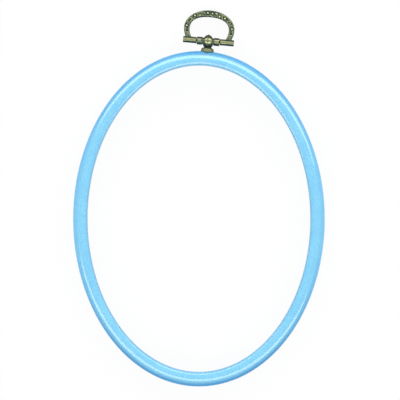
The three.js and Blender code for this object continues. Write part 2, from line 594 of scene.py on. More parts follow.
def cut(mesh: Mesh, *cutters: Mesh, solver: Solver = Solver.MANIFOLD) -> Mesh:
    """Cuts closed shapes out of a closed mesh.

    Args:
        mesh: The mesh.
        cutters: What is cut out of it.
        solver: The way to cut.

    Returns:
        The cut mesh.
    """
    for cutter in cutters:
        tool = new_object("cutter", cutter)
        settings = {"operation": "DIFFERENCE", "solver": solver.value, "object": tool}
        mesh = applied(mesh, "BOOLEAN", settings)
        bpy.data.objects.remove(tool)
    return mesh


def moved(mesh: Mesh, matrix: Matrix) -> Mesh:
    """Moves a mesh's points.

    Args:
        mesh: The mesh, changed in place.
        matrix: The move.

    Returns:
        The mesh.
    """
    mesh.transform(matrix)
    mesh.update()
    return mesh


def arc(centre: Point, radii: Point | float, start: float, turn: float, steps: int) -> list[Point]:
    """Points of an arc, both ends included.

    Args:
        centre: Its centre.
        radii: Its radius, or an ellipse's two half widths.
        start: Where it starts, in degrees.
        turn: How far it turns, in degrees.
        steps: How many steps it has.

    Returns:
        The points.
    """
    wide, high = radii if isinstance(radii, tuple) else (radii, radii)
    angles = [math.radians(start + turn * step / steps) for step in range(steps + 1)]
    return [(centre[0] + wide * math.cos(a), centre[1] + high * math.sin(a)) for a in angles]


def bezier(start: Point, first: Point, second: Point, end: Point, steps: int) -> list[Point]:
    """Points of a cubic curve, both ends included.

    Args:
        start: Where it starts.
        first: The control of its start.
        second: The control of its end.
        end: Where it ends.
        steps: How many steps it has.

    Returns:
        The points.
    """
    a, b, c, d = (np.array(point) for point in (start, first, second, end))
    curve = (
        (1 - t) ** 3 * a + 3 * (1 - t) ** 2 * t * b + 3 * (1 - t) * t * t * c + t**3 * d
        for t in np.linspace(0, 1, steps + 1)
    )
    return [(float(x), float(y)) for x, y in curve]


def rounded(path: Path, rounds: int = 2) -> list[Point]:
    """Cuts a path's corners off, keeping its ends.

    Args:
        path: Its points.
        rounds: How often they are cut.

    Returns:
        The smoother path.
    """
    points = [np.array(point, float) for point in path]
    for _ in range(rounds):
        inner = [near * (1 - t) + far * t for near, far in zip(points, points[1:]) for t in (0.25, 0.75)]
        points = [points[0], *inner, points[-1]]
    return [(float(x), float(y)) for x, y in points]


def rounded_box(low: Point, high: Point, corner: float, steps: int) -> list[Point]:
    """The closed outline of a box with rounded corners.

    Args:
        low: Its lowest corner.
        high: Its highest corner.
        corner: The radius of its corners.
        steps: How many steps a corner has.

    Returns:
        The points, once round.
    """
    left, bottom = (end + corner for end in low)
    right, top = (end - corner for end in high)
    centres = ((left, bottom), (right, bottom), (right, top), (left, top))
    arcs = (arc(centre, corner, 180.0 + 90.0 * turn, 90.0, steps) for turn, centre in enumerate(centres))
    return [point for points in arcs for point in points]


def distance_to(places: np.ndarray, path: Path) -> np.ndarray:
    """How far points are from a path, both seen from the front.

    Args:
        places: Rows of X, Y and Z.
        path: The path's points; one point is enough.

    Returns:
        The distances.
    """
    flat = places[:, :2]
    nearest = np.full(len(flat), np.inf)
    ends = [np.array(point, float) for point in path]
    for start, end in zip(ends, ends[1:] or ends):
        span = end - start
        along = np.clip((flat - start) @ span / max(float(span @ span), TINY), 0, 1)[:, None]
        nearest = np.minimum(nearest, np.linalg.norm(flat - start - along * span, axis=1))
    return nearest


def step(values: np.ndarray, low: float, high: float) -> np.ndarray:
    """A smooth step from 0 at low to 1 at high."""
    t = np.clip((values - low) / (high - low), 0, 1)
    return t * t * (3 - 2 * t)


@dataclass(frozen=True)
class Strand:
    """A round strand along a path, in millimetres.

    Attributes:
        path: Its points.
        radii: Its radius, or the radius at each point.
        closed: Whether its ends meet.
    """

    path: Sequence[Place]
    radii: Sequence[float] | float = 1.0
    closed: bool = False


def curve_of(*strands: Strand) -> bpy.types.Curve:
    """Makes one curve of straight-stepped splines from strands.

    Args:
        strands: The strands.

    Returns:
        The curve, with one spline to a strand.
    """
    curve = bpy.data.curves.new("work", "CURVE")
    curve.dimensions = "3D"
    for strand in strands:
        spline = curve.splines.new("POLY")
        spline.points.add(len(strand.path) - 1)
        spline.use_cyclic_u = strand.closed
        radii = np.broadcast_to(strand.radii, len(strand.path))
        for point, place, radius in zip(spline.points, strand.path, radii):
            point.co = (*place, 1.0)
            point.radius = radius
    return curve


def oval_sweep_tree() -> GeometryTree:
    """Makes the tree that carries a section, drawn outwards and down, round an oval.

    Returns:
        The finished tree.
    """
    tree = GeometryTree("oval sweep", {"Half Width": float, "Half Length": float, "Stations": int})
    given = tree.inputs
    size = {"X": given["Half Width"], "Y": given["Half Length"], "Z": 1.0}
    sockets = {"Geometry": tree.circle(given["Stations"]), "Scale": tree.output("ShaderNodeCombineXYZ", size)}
    oval = tree.output("GeometryNodeTransform", sockets)
    return tree.sweep({"Curve": tree.upright(oval), "Profile Curve": given["Geometry"]})


def strand_tree() -> GeometryTree:
    """Makes the tree that turns each spline into a round strand with the spline's own radii.

    Returns:
        The finished tree.
    """
    tree = GeometryTree("strands", {"Sides": int})
    sockets = {
        "Curve": tree.inputs["Geometry"],
        "Profile Curve": tree.circle(tree.inputs["Sides"]),
        "Scale": tree.output("GeometryNodeInputRadius"),
        "Fill Caps": True,
    }
    return tree.sweep(sockets)


def bead_tree() -> GeometryTree:
    """Makes the tree that sets a bead on each point, with the size that the point says.

    Returns:
        The finished tree.
    """
    tree = GeometryTree("beads", {"Segments": int, "Rings": int})
    given = tree.inputs
    ball = tree.output("GeometryNodeMeshUVSphere", {name: given[name] for name in ("Segments", "Rings")})
    size = tree.output("GeometryNodeInputNamedAttribute", {"Name": "size"}, data_type="FLOAT")
    sockets = {"Points": given["Geometry"], "Instance": ball, "Scale": size}
    return tree.finish(tree.output("GeometryNodeInstanceOnPoints", sockets))


def thread_tree() -> GeometryTree:
    """Makes the tree that winds a screw's thread from a profile, drawn outwards and along.

    Returns:
        The finished tree.
    """
    tree = GeometryTree("thread", {"Turns": float, "Length": float, "Radius": float, "Steps": int})
    given = tree.inputs
    sockets = {
        "Resolution": given["Steps"],
        "Rotations": given["Turns"],
        "Start Radius": given["Radius"],
        "End Radius": given["Radius"],
        "Height": given["Length"],
    }
    helix = tree.upright(tree.output("GeometryNodeCurveSpiral", sockets))
    return tree.sweep({"Curve": helix, "Profile Curve": given["Geometry"], "Fill Caps": True})


@dataclass(frozen=True)
class Vinyl:
    """Soft glossy vinyl, faintly mottled, with painted shade that deepens it down its outer side, and duller
    there.

    It reads from the mesh how steep the side is, and how near the oval's ends, where that painted shade is
    strongest. It is whitened in streaks where the hanger's foot pulls on it, and has a painted shadow under
    that foot. Grains, reaches and depths are in millimetres, and the middle of the strained place is in
    metres.
    """

    strain_at: Place
    colour: Colour = (0.275, 0.72, 1.0)
    deep: Colour = (0.225, 0.645, 0.97)
    side_shade_colour: Colour = (0.06, 0.34, 0.67)
    foot_shadow: Colour = (0.05, 0.20, 0.42)
    strained: Colour = (0.60, 0.85, 0.97)
    mottle: float = 0.75
    broad_mottle: float = 9.0
    broad_share: float = 0.25
    mottle_band: Point = (0.38, 0.62)
    strain_reach: Point = (1.47, 4.2)
    strain_share: float = 0.7
    strain_height: float = 0.8
    streak: float = 0.55
    streak_band: Point = (0.52, 0.66)
    foot_shadow_reach: Point = (1.89, 3.36)
    foot_shadow_share: float = 0.4
    roughness: float = 0.3
    side_roughness: float = 0.5
    rough_swing: float = 0.1
    refraction: float = 1.3
    side_slopes: Point = (0.11, 0.37)
    coat_slopes: Point = (0.25, 0.42)
    coat_roughness: float = 0.095
    coat_refraction: float = 1.79
    grain: float = 0.35
    ripple: float = 1.8
    ripple_share: float = 0.4
    grain_depth: float = 0.0045

    def material(self) -> Material:
        """Makes the material.

        Returns:
            The material.
        """
        nodes = ShaderNodes("glossy_vinyl")
        slope = nodes.stored("slope")
        side = nodes.band(slope, *self.side_slopes) * nodes.stored("ends")
        blotch = nodes.noise(self.mottle, detail=3.0, roughness=0.6)
        mottle = blotch.blended(nodes.noise(self.broad_mottle, detail=1.0), self.broad_share)
        body = nodes.mix(nodes.band(mottle, *self.mottle_band), self.deep, self.colour)
        # Painted shade: the outer side is darkened towards deep blue, most where it faces the oval's ends.
        body = nodes.mix(side, body, self.side_shade_colour)
        # Painted shadow: a darker patch on the outer side round the hanger's foot.
        foot_shadow = nodes.near(self.strain_at, self.foot_shadow_reach) * side
        body = nodes.mix(foot_shadow * self.foot_shadow_share, body, self.foot_shadow)
        streaks = nodes.band(nodes.noise(self.streak, detail=4.0, roughness=0.7), *self.streak_band)
        strain = nodes.near(self.strain_at, self.strain_reach) * streaks
        skin = nodes.noise(self.grain).blended(nodes.noise(self.ripple, detail=1.0), self.ripple_share)
        rough = self.roughness + side * (self.side_roughness - self.roughness)
        return nodes.finish({
            "Base Color": nodes.mix(strain * self.strain_share, body, self.strained),
            "Roughness": rough + blotch.swing(self.rough_swing),
            "IOR": self.refraction,
            "Coat Weight": 1 - nodes.band(slope, *self.coat_slopes),
            "Coat Roughness": self.coat_roughness,
            "Coat IOR": self.coat_refraction,
            "Normal": nodes.bump(skin + strain * self.strain_height, self.grain_depth),
        })


@dataclass(frozen=True)
class RigidPlastic:
    """Rigid satin plastic with the fine vertical drag marks of its mould, and painted shade that deepens its
    colour down its steep walls.

    Grains and depths are in millimetres.
    """

    colour: Colour = (0.30, 0.68, 0.90)
    deep: Colour = (0.26, 0.62, 0.84)
    wall: Colour = (0.06, 0.40, 0.68)
    wall_shade_slopes: Point = (0.15, 0.6)
    blotch: float = 1.4
    blotch_band: Point = (0.35, 0.65)
    drag: float = 0.3
    drawn: Place = (1.0, 1.0, 0.06)
    blotch_share: float = 0.3
    depth: float = 0.02
    roughness: float = 0.36
    rough_swing: float = 0.2

    def material(self) -> Material:
        """Makes the material.

        Returns:
            The material.
        """
        nodes = ShaderNodes("satin_plastic")
        blotch, drag = nodes.noise(self.blotch), nodes.noise(self.drag, drawn=self.drawn)
        face = nodes.mix(nodes.band(blotch, *self.blotch_band), self.deep, self.colour)
        return nodes.finish({
            # Painted shade: the colour deepens down the steep walls.
            "Base Color": nodes.mix(nodes.band(nodes.stored("slope"), *self.wall_shade_slopes), face, self.wall),
            "Roughness": self.roughness + drag.swing(self.rough_swing),
            "Normal": nodes.bump(drag.blended(blotch, self.blotch_share), self.depth),
        })


@dataclass(frozen=True)
class CastBrass:
    """Cast brass with a dark patina in its recesses, read from the wear stored on the mesh.

    Its shades go with the wear from 0 to 1: black patina, slate, olive, worn brass and polished brass. The
    low places that face up the hoop get a painted shade in dark brown. Grains and depths are in millimetres.
    """

    shades: tuple[tuple[float, Colour], ...] = (
        (0.0, (0.016, 0.031, 0.021)),
        (0.25, (0.12, 0.175, 0.145)),
        (0.48, (0.25, 0.276, 0.147)),
        (0.75, (0.50, 0.51, 0.265)),
        (1.0, (0.86, 0.84, 0.42)),
    )
    brown_shade: Colour = (0.055, 0.05, 0.016)
    brown_shade_share: float = 0.85
    brown_shade_fades: Point = (0.3, 0.5)
    grain: float = 0.28
    cloud: float = 1.1
    cloud_share: float = 0.4
    wear_swing: float = 0.2
    metal_least: float = 0.35
    metal_band: Point = (0.05, 0.5)
    rough: float = 0.56
    smooth: float = 0.2
    smooth_from: float = 0.6
    rough_swing: float = 0.1
    refraction: float = 1.24
    depth: float = 0.03

    def material(self) -> Material:
        """Makes the material.

        Returns:
            The material.
        """
        nodes = ShaderNodes("cast_brass")
        grain, cloud = nodes.noise(self.grain, detail=3.0, roughness=0.65), nodes.noise(self.cloud)
        wear = nodes.stored("wear") + grain.swing(self.wear_swing) + cloud.swing(self.wear_swing)
        wear = wear.clamped()
        # Painted shade: low places on the sides that face up the hoop are darkened to brown.
        low = 1 - nodes.band(wear, *self.brown_shade_fades)
        brown_shade = nodes.stored("upper") * low * self.brown_shade_share
        polish = nodes.band(wear, self.smooth_from, 1.0) * (self.rough - self.smooth)
        return nodes.finish({
            "Base Color": nodes.mix(brown_shade, nodes.ramp(wear, self.shades), self.brown_shade),
            "Metallic": self.metal_least + nodes.band(wear, *self.metal_band) * (1 - self.metal_least),
            "IOR": self.refraction,
            "Roughness": self.rough - polish + grain.swing(self.rough_swing),
            "Normal": nodes.bump(grain.blended(cloud, self.cloud_share), self.depth),
        })


@dataclass(frozen=True)
class DrawnBrass:
    """Dark drawn brass wire, with fine lines along it and faint clouding, grains in millimetres."""

    dark: Colour = (0.03, 0.035, 0.025)
    light: Colour = (0.10, 0.10, 0.06)
    shade_band: Point = (0.35, 0.65)
    line: float = 0.12
    drawn: Place = (0.05, 1.0, 1.0)
    cloud: float = 1.0
    cloud_share: float = 0.4
    metal: float = 0.9
    roughness: float = 0.34
    rough_share: float = 0.2
    depth: float = 0.006

    def material(self) -> Material:
        """Makes the material.

        Returns:
            The material.
        """
        nodes = ShaderNodes("drawn_brass")
        lines, cloud = nodes.noise(self.line, drawn=self.drawn), nodes.noise(self.cloud)
        shade = nodes.band(lines.blended(cloud, self.cloud_share), *self.shade_band)
        return nodes.finish({
            "Base Color": nodes.mix(shade, self.dark, self.light),
            "Metallic": self.metal,
            "Roughness": self.roughness + cloud * self.rough_share,
            "Normal": nodes.bump(lines, self.depth),
        })


@dataclass(frozen=True)
class PlatedSteel:
    """Zinc-plated steel, faintly clouded, grains in millimetres."""

    dull: Colour = (0.46, 0.47, 0.48)
    bright: Colour = (0.62, 0.63, 0.65)
    shade_band: Point = (0.35, 0.65)
    cloud: float = 0.7
    grain: float = 0.12
    roughness: float = 0.28
    rough_share: float = 0.16
    depth: float = 0.008

    def material(self) -> Material:
        """Makes the material.

        Returns:
            The material.
        """
        nodes = ShaderNodes("plated_steel")
        cloud = nodes.noise(self.cloud, detail=3.0, roughness=0.6)
        return nodes.finish({
            "Base Color": nodes.mix(nodes.band(cloud, *self.shade_band), self.dull, self.bright),
            "Metallic": 1.0,
            "Roughness": self.roughness + cloud * self.rough_share,
            "Normal": nodes.bump(nodes.noise(self.grain), self.depth),
        })


@dataclass(frozen=True)
class Oval:
    """The opening that both hoops follow, in millimetres.

    Attributes:
        centre: Its middle in the frame's axes.
        tree: The tree that carries a section round it.
        half_width: Half of its width.
        half_length: Half of its length.
        stations: How many stations a hoop's sweep has.
    """

    centre: Point
    tree: GeometryTree
    half_width: float = 50.8
    half_length: float = 69.85
    stations: int = 480

    def sweep(self, section: Path, material: Material) -> Mesh:
        """Carries a section round the oval.

        Args:
            section: A closed section, outwards from the opening's edge and up from the surface.
            material: What the result is made of.

        Returns:
            The closed mesh, in millimetres in the frame's axes.
        """
        profile = curve_of(Strand([(out, -up, 0.0) for out, up in section], closed=True))
        values = {"Half Width": self.half_width, "Half Length": self.half_length, "Stations": self.stations}
        mesh = self.tree.run(profile, material, values)
        return outwards(moved(mesh, Matrix.Translation((*self.centre, 0.0))))


@dataclass(frozen=True)
class HangerPlace:
    """Where the hanger's own axes lie, and what it shares with the hoop, in millimetres along the post.

    Attributes:
        at: The middle of the bar in the frame's axes.
        tilt: How far the bar is turned from X, in radians.
        stand_off: From the hoop's outer edge to the bar.
        wall_inside: The inner wall of the outer hoop.
        pocket_floor: The floor of the pocket for the screw's head.
        pocket_radius: That pocket's radius.
        screw_hole: The radius of the screw's hole.
        pin_bore: The radius of the pin's bore.
        strained: The middle of the vinyl that the foot pulls on, in the hanger's axes.
    """

    at: Place
    tilt: float
    stand_off: float = 4.68
    wall_inside: float = -9.03
    pocket_floor: float = -6.83
    pocket_radius: float = 2.2
    screw_hole: float = 0.95
    pin_bore: float = 0.75
    strained: Place = (-0.4, -6.0, 3.6)

    def matrix(self) -> Matrix:
        """From the hanger's axes to the frame's, both in millimetres."""
        return Matrix.Translation(self.at) @ Matrix.Rotation(self.tilt, 4, "Z")


@dataclass(frozen=True)
class Bench:
    """What the pieces are made with: the opening, the hanger's place, the node trees and the materials."""

    oval: Oval
    hanger: HangerPlace
    strands: GeometryTree
    beads: GeometryTree
    thread: GeometryTree
    materials: Mapping[Slot, Material]


@dataclass
class Piece:
    """A piece of the object.

    Attributes:
        name: Its name.
        node: The CAD node that it stands for.
        body: The body that it rides on.
        slot: The record's slot of its finish.
        sharp: The angle in degrees past which an edge stays sharp.
        bench: What it is made with.
    """

    name: ClassVar[str]
    node: ClassVar[str]
    body: ClassVar[Body]
    slot: ClassVar[Slot]
    sharp: ClassVar[float] = 40.0
    bench: Bench

    def build(self) -> Mesh:
        """Makes the mesh, in millimetres in the frame's axes."""
        raise NotImplementedError

    def material(self) -> Material:
        """What the piece is made of."""
        return self.bench.materials[self.slot]

    def hung(self, mesh: Mesh) -> Mesh:
        """Moves a mesh from the hanger's own axes to the frame's."""
        return moved(mesh, self.bench.hanger.matrix())

    def place(self) -> None:
        """Builds the piece, dresses it, sets it in the frame and reports it."""
        mesh = self.build()
        mesh.transform(Matrix.Scale(MM, 4))
        mesh.name = self.name
        mesh.materials.clear()
        mesh.materials.append(self.material())
        mesh.shade_smooth()
        mesh.set_sharp_from_angle(angle=math.radians(self.sharp))
        piece = new_object(self.name, mesh)
        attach(piece, self.body.value)
        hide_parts(self.node)
        low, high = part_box(self.node)
        size = [round(length / MM, 1) for length in high - low]
        log.info("%s: %d faces, stands for a node of %s mm", self.name, len(mesh.polygons), size)


@dataclass
class OuterHoop(Piece):
    """The soft outer hoop: a round bead outside, a flat front band, and a lip over the inner hoop.

    Its lengths are in millimetres and its angles in degrees. The bead is pulled a little flatter beside the
    hanger, and the painted shade on its outer side is strongest where it faces the oval's ends.
    """

    name, node, body, slot = "outer_hoop_ring", "outer_hoop", Body.OUTER, Slot.VINYL
    inside: float = 2.1
    band_width: float = 6.45
    depth: float = 9.5
    bead_radius: float = 4.6
    bead_turn: float = 78.0
    bead_steps: int = 30
    back_round: Point = (2.2, 3.5)
    crease_margins: tuple[float, ...] = (0.04, 0.15, 0.4)
    lip_edge: float = 0.5
    lip_round: float = 3.0
    lip_from: float = 2.11
    lip_turn: float = 32.0
    lip_corner: float = 0.12
    corner_lead: float = 6.0
    lip_thickness: float = 1.0
    lip_under_round: float = 0.12
    flank_share: float = 0.32
    full_from: float = 0.75
    top_share: float = 0.72
    outside_from: float = 3.0
    pull_depth: float = 0.24
    pull_across: tuple[float, float, float] = (2.4, 5.6, 6.4)
    pull_around: tuple[float, float, float, float] = (42.0, 60.0, 90.0, 108.0)
    pull_above: float = 5.0

    def section(self, growth: float = 0.0) -> list[Point]:
        """The hoop's closed section.

        Args:
            growth: How far the outside is moved outwards.

        Returns:
            Points outwards from the opening's edge and up from the surface.
        """
        wide, high = self.back_round
        bead_up = self.depth - self.bead_radius * math.sin(math.radians(self.bead_turn))
        bead_centre = (self.band_width - self.bead_radius, bead_up)
        bead = arc(bead_centre, self.bead_radius + growth, 0.0, self.bead_turn, self.bead_steps)
        lip_centre = (self.lip_from, self.depth - self.lip_round)
        lip = arc(lip_centre, (self.lip_round, self.lip_round + growth), 90.0, self.lip_turn, 10)
        turned = 90.0 + self.lip_turn
        (end_out, end_up), inwards = lip[-1], math.radians(turned)
        corner = (end_out - self.lip_corner * math.cos(inwards), end_up - self.lip_corner * math.sin(inwards))
        bottom, under = self.depth - self.lip_thickness, self.lip_under_round
        start = turned + self.corner_lead
        return [
            (self.inside, -growth),
            *arc((self.band_width - wide, high), (wide + growth, high + growth), -90.0, 90.0, 16),
            *bead[1:],
            *((bead[-1][0] - margin, self.depth + growth) for margin in self.crease_margins),
            *lip,
            *arc(corner, self.lip_corner, start, 180.0 - start, 4),
            *arc((self.lip_edge + under, bottom + under), under, 180.0, 90.0, 3),
            (self.inside, bottom),
        ]

    def pull(self, mesh: Mesh) -> None:
        """Flattens the bead a little beside the hanger, where the soft hoop has been pulled.

        Args:
            mesh: The swept hoop, changed in place.
        """
        places = places_of(mesh)
        x, y = (places[:, :2] - self.bench.oval.centre).T
        wide, long = self.bench.oval.half_width, self.bench.oval.half_length
        turn = np.arctan2(y / long, x / wide)
        across = np.stack([long * np.cos(turn), wide * np.sin(turn)])
        across /= np.hypot(*across)
        out = (x - wide * np.cos(turn)) * across[0] + (y - long * np.sin(turn)) * across[1]
        near, bottom, far = self.pull_across
        rise, full, fall, end = self.pull_around
        around = step(np.degrees(turn), rise, full) * (1 - step(np.degrees(turn), fall, end))
        hollow = step(out, near, bottom) * (1 - step(out, bottom, far)) * (places[:, 2] > self.pull_above)
        places[:, 2] -= self.pull_depth * around * hollow
        move_points(mesh, places)

    def ring(self, growth: float = 0.0) -> Mesh:
        """Sweeps the hoop and pulls it beside the hanger.

        Args:
            growth: How far the outside is moved outwards.

        Returns:
            The hoop before its pocket and hole are cut.
        """
        mesh = self.bench.oval.sweep(self.section(growth), self.material())
        self.pull(mesh)
        return mesh

    def build(self) -> Mesh:
        """Sweeps the hoop and cuts the pocket and the hole for the hanger's screw.

        Returns:
            The mesh in millimetres in the frame's axes.
        """
        oval, hanger = self.bench.oval, self.bench.hanger
        pocket = rod(hanger.wall_inside - 1, hanger.pocket_floor, hanger.pocket_radius, Axis.Y)
        hole = rod(hanger.pocket_floor - 1, 0.0, hanger.screw_hole, Axis.Y)
        mesh = cut(self.ring(), self.hung(pocket), self.hung(hole), solver=Solver.EXACT)
        middle = (oval.half_width + self.outside_from, oval.half_length + self.outside_from)
        outside = np.hypot(*((places_of(mesh)[:, :2] - oval.centre) / middle).T) > 1
        _, up_hoop, front = normals_of(mesh).T
        # Painted shade: how strongly the outer side is darkened, most where it faces the oval's ends, less at
        # the top end, least along the long sides.
        end_facing_shade = step(np.abs(up_hoop), 0.0, self.full_from) * np.where(up_hoop > 0, self.top_share, 1.0)
        ends = self.flank_share + (1 - self.flank_share) * end_facing_shade
        store(mesh, "slope", np.clip(1 - front, 0, 1) * outside)
        store(mesh, "ends", np.where(front > 0, ends, 1.0))
        return mesh


@dataclass
class InnerHoop(Piece):
    """The rigid inner hoop: a plain strip with rounded corners, in millimetres."""

    name, node, body, slot = "inner_hoop_ring", "inner_hoop", Body.INNER, Slot.RIGID
    wall: float = 1.8
    depth: float = 8.4
    corner: float = 0.45
    corner_steps: int = 8

    def build(self) -> Mesh:
        """Sweeps the strip round the oval and stores how steep it is.

        Returns:
            The mesh in millimetres in the frame's axes.
        """
        section = rounded_box((0.0, 0.0), (self.wall, self.depth), self.corner, self.corner_steps)
        mesh = self.bench.oval.sweep(section, self.material())
        store(mesh, "slope", np.clip(1 - normals_of(mesh)[:, 2], 0, 1))
        return mesh


@dataclass(frozen=True)
class Mark:
    """A stroke of a casting's relief or wear, seen from its front, in millimetres.

    Attributes:
        path: Its points; one point is a round spot.
        weight: Its half width.
        wear: How worn it is, from 0, black with patina, to 1, polished.
        raised: Whether it stands up from the surface.
        sunk: How deep it is pressed into the surface.
        turned: Whether only the front of it is rubbed, as on a round bar.
        TAPER: How much thinner its strand is at the ends.
        FADES: The shares of the weight between which its mask fades out.
    """

    TAPER: ClassVar[float] = 0.55
    FADES: ClassVar[Point] = (0.7, 1.15)
    path: tuple[Point, ...]
    weight: float
    wear: float
    raised: bool = False
    sunk: float = 0.0
    turned: bool = False

    def line(self) -> list[Point]:
        """Its path with the corners rounded."""
        return rounded(self.path) if len(self.path) > 2 else list(self.path)

    def strand(self, height: float) -> Strand:
        """Makes the stroke a strand.

        Args:
            height: The strand's height.

        Returns:
            The strand, thinner at its ends.
        """
        line = self.line()
        radii = self.weight * (1 - self.TAPER * np.linspace(-1, 1, len(line)) ** 4)
        return Strand([(x, y, height) for x, y in line], radii)

    def mask(self, places: np.ndarray) -> np.ndarray:
        """How much of the stroke is at each point, from 0 to 1."""
        return 1 - step(distance_to(places, self.line()), *(self.weight * share for share in self.FADES))

    def mirrored(self) -> "Mark":
        """The same stroke on the other side of the middle."""
        return replace(self, path=tuple((-x, y) for x, y in self.path))


def marks_of(*rows: tuple[float | Point, ...], **shared: Any) -> tuple[Mark, ...]:
    """Marks from rows of weight, wear and the path's points, with the rest shared."""
    return tuple(Mark(tuple(path), weight, wear, **shared) for weight, wear, *path in rows)


def level(half: float, y: float) -> tuple[Point, Point]:
    """A path across the middle at a height."""
    return (-half, y), (half, y)


def plumb(x: float, half: float) -> tuple[Point, Point]:
    """A path up across the bar at a distance from the middle."""
    return (x, -half), (x, half)


@dataclass
class Casting(Piece):
    """What both brass castings share: how finely they are fused and how wear shows on them.

    Attributes:
        voxel: The size of a face in millimetres.
        smoothing: How often the fused surface is smoothed.
        near_rounds: Rounds of averaging that tell fine relief.
        far_rounds: Rounds of averaging that tell broad relief.
        plain_wear: The wear of a plain front face.
        relief_wear: How much a millimetre of height adds to the wear.
        fine_share: How many times more fine relief counts than broad relief.
        rubbed_from: The normals' Z where a front face starts to be rubbed, and where it is fully rubbed.
        turned_from: The same for a round bar.
        lit_from: The same for a raised stroke.
        pressed_from: The same for what a sunk mark presses in.
        side_wear: The share of the wear that a side has.
        lit_least: The share of its wear that the side of a raised stroke has.
        turned_tilt: How far the rubbed front of a round bar, partly a painted highlight, leans towards Y, in
            radians.
        back_wear: The share of the wear that the back has.
        marked_above: The height above which the marks hold.
        upper_from: The Y of a normal from which a side faces up the hoop, and of one that fully does.
        brown_shade_weight: How strongly painted shade darkens the patina to brown on the sides that face up
            the hoop.
    """

    slot = Slot.CAST_BRASS
    voxel: float = 0.08
    smoothing: int = 2
    near_rounds: int = 14
    far_rounds: int = 90
    plain_wear: float = 0.7
    relief_wear: float = 1.0
    fine_share: float = 2.0
    rubbed_from: Point = (0.76, 0.95)
    turned_from: Point = (0.82, 0.985)
    lit_from: Point = (0.2, 0.75)
    pressed_from: Point = (0.1, 0.5)
    side_wear: float = 0.06
    lit_least: float = 0.45
    turned_tilt: float = 0.07
    back_wear: float = 0.7
    marked_above: float = -math.inf
    upper_from: Point = (0.3, 0.65)
    brown_shade_weight: float = 1.0

    def sink(self, mesh: Mesh, marks: Sequence[Mark]) -> None:
        """Presses the sunk marks into the front.

        Args:
            mesh: The casting, changed in place.
            marks: Its marks.
        """
        places = places_of(mesh)
        front = step(normals_of(mesh)[:, 2], *self.pressed_from) * (places[:, 2] > self.marked_above)
        for mark in marks:
            if mark.sunk:
                places[:, 2] -= mark.sunk * front * mark.mask(places)
        move_points(mesh, places)

    def weather(self, mesh: Mesh, marks: Sequence[Mark]) -> None:
        """Stores how worn each point is: high places are bright and recesses dark with patina, and the sides
        are darker than the front, partly from rubbing and partly as painted shade.

        Args:
            mesh: The casting, in its own axes, with Z out of its front.
            marks: Its strokes, later ones over earlier ones.
        """
        places, normals = places_of(mesh), normals_of(mesh)
        near = averaged(mesh, places, self.near_rounds)
        far = averaged(mesh, near, self.far_rounds)
        fine, broad = (np.einsum("ij,ij->i", places - base, normals) for base in (near, far))
        # Front brighter than sides: partly real rubbing, partly painted shade on the sides and a painted
        # highlight on the bars.
        leaning = normals[:, 2] * math.cos(self.turned_tilt) + normals[:, 1] * math.sin(self.turned_tilt)
        front, turned = (
            self.side_wear
            + (1 - self.side_wear) * (step(facing, *limits) + self.back_wear * step(-facing, *limits))
            for facing, limits in ((normals[:, 2], self.rubbed_from), (leaning, self.turned_from))
        )
        wear = (self.plain_wear + self.relief_wear * (fine * self.fine_share + broad)) * front
        shown = (places[:, 2] > self.marked_above).astype(float)
        lit = self.lit_least + (1 - self.lit_least) * step(normals[:, 2], *self.lit_from)
        for mark in marks:
            share = turned if mark.turned else lit if mark.raised else 1.0
            wear += mark.mask(places) * (1.0 if mark.turned else shown) * (mark.wear * share - wear)
        store(mesh, "wear", averaged(mesh, np.clip(wear, 0, 1)[:, None], 1)[:, 0])
        # Painted shade: marks the sides that face up the hoop for the dark brown.
        store(mesh, "upper", step(normals[:, 1], *self.upper_from) * self.brown_shade_weight)


